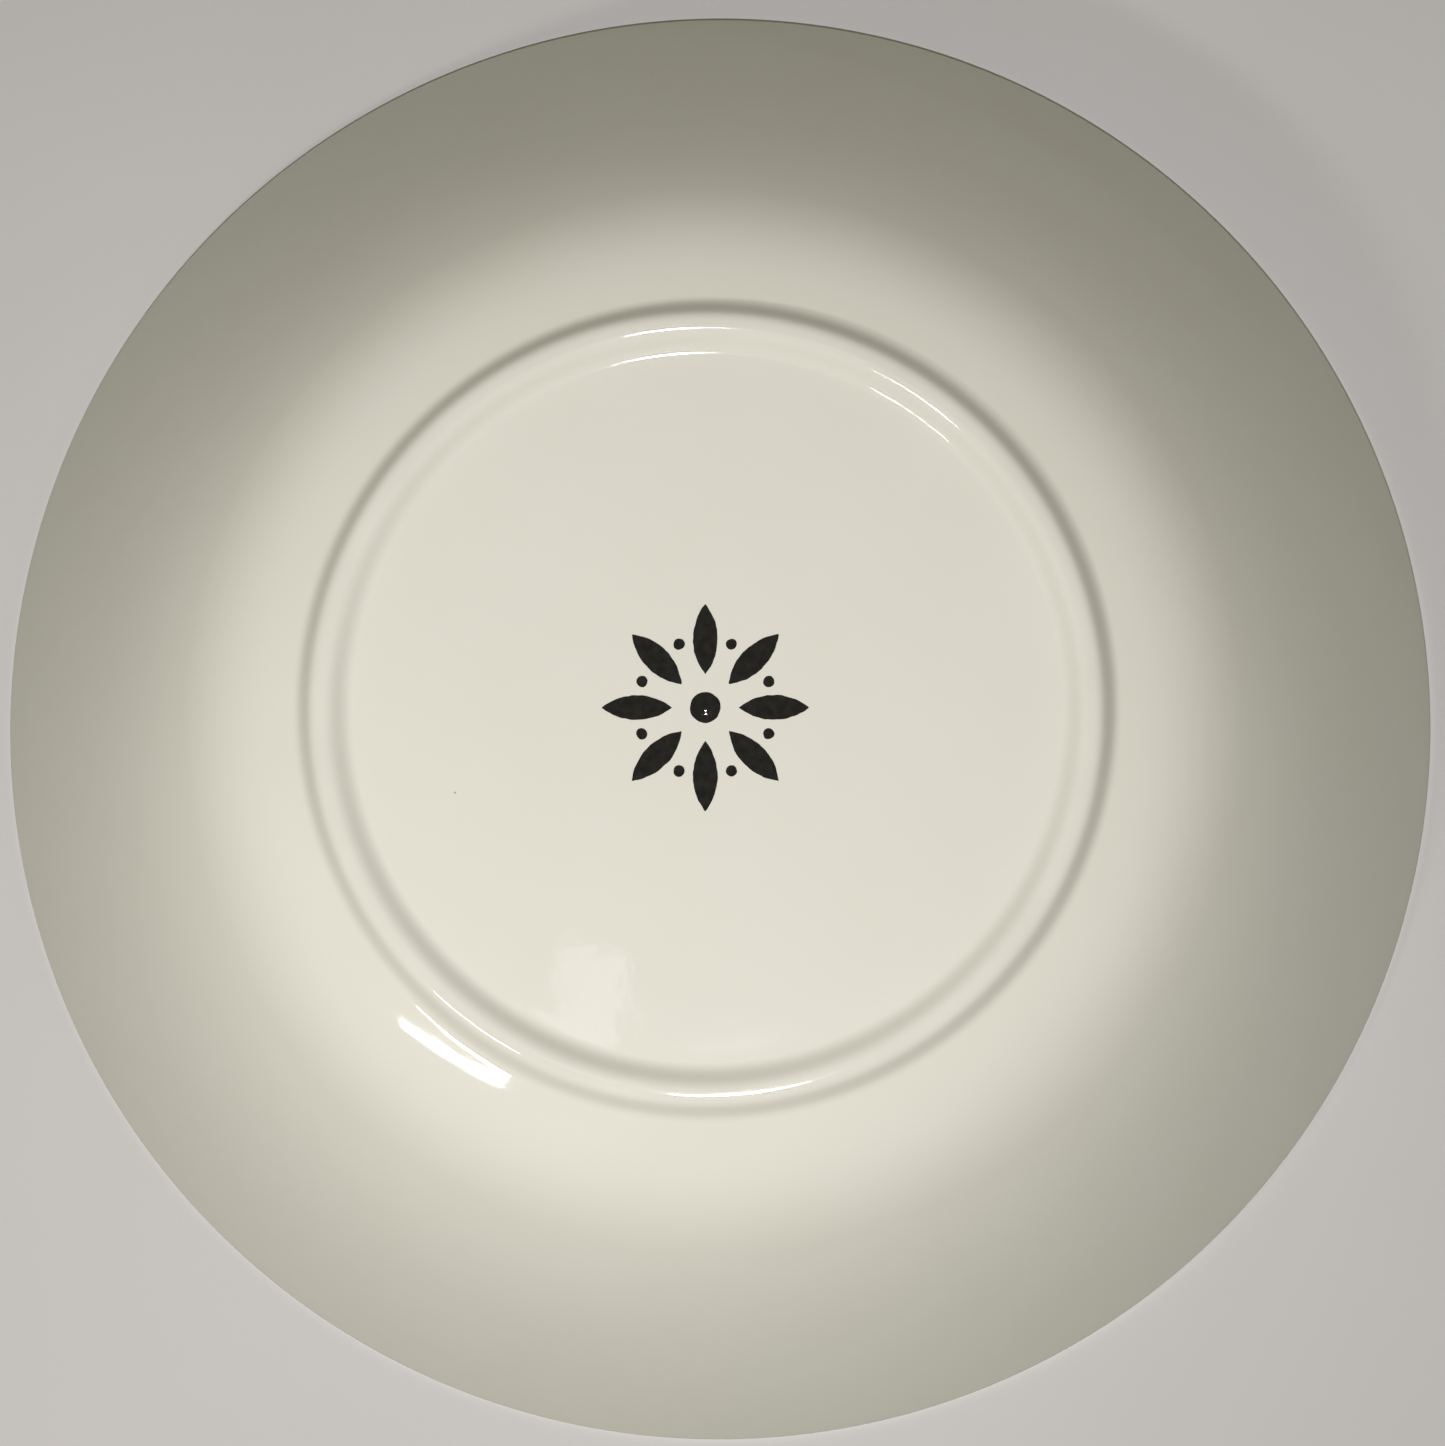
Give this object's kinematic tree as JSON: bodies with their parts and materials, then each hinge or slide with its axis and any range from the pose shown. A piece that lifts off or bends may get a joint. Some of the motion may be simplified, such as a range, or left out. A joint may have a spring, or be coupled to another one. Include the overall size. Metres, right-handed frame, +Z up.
{
  "type": "serving bowl",
  "caption": "Low round porcelain serving bowl with a flat well, flared wall, rounded rim and low rounded foot ring, cream glazed all over, with a dark rosette on its base.",
  "frame": {"origin": "centre of the circle that the foot ring stands on, on the table plane", "axes": "+Z up along the bowl's axis of revolution, towards the open mouth; +X and +Y along two opposite pairs of petals of the rosette on the base"},
  "size_m": [0.28, 0.28, 0.072],
  "materials": {
    "clay": "fired porcelain, matt, wholly under the glaze",
    "glaze": "smooth opaque cream glaze, glossy",
    "ink": "fired black ceramic print, glossy"
  },
  "bodies": {
    "root": {"ceramic_body": "clay", "outer_glaze": "glaze", "inner_glaze": "glaze", "base_mark": "ink"}
  },
  "joints": []
}
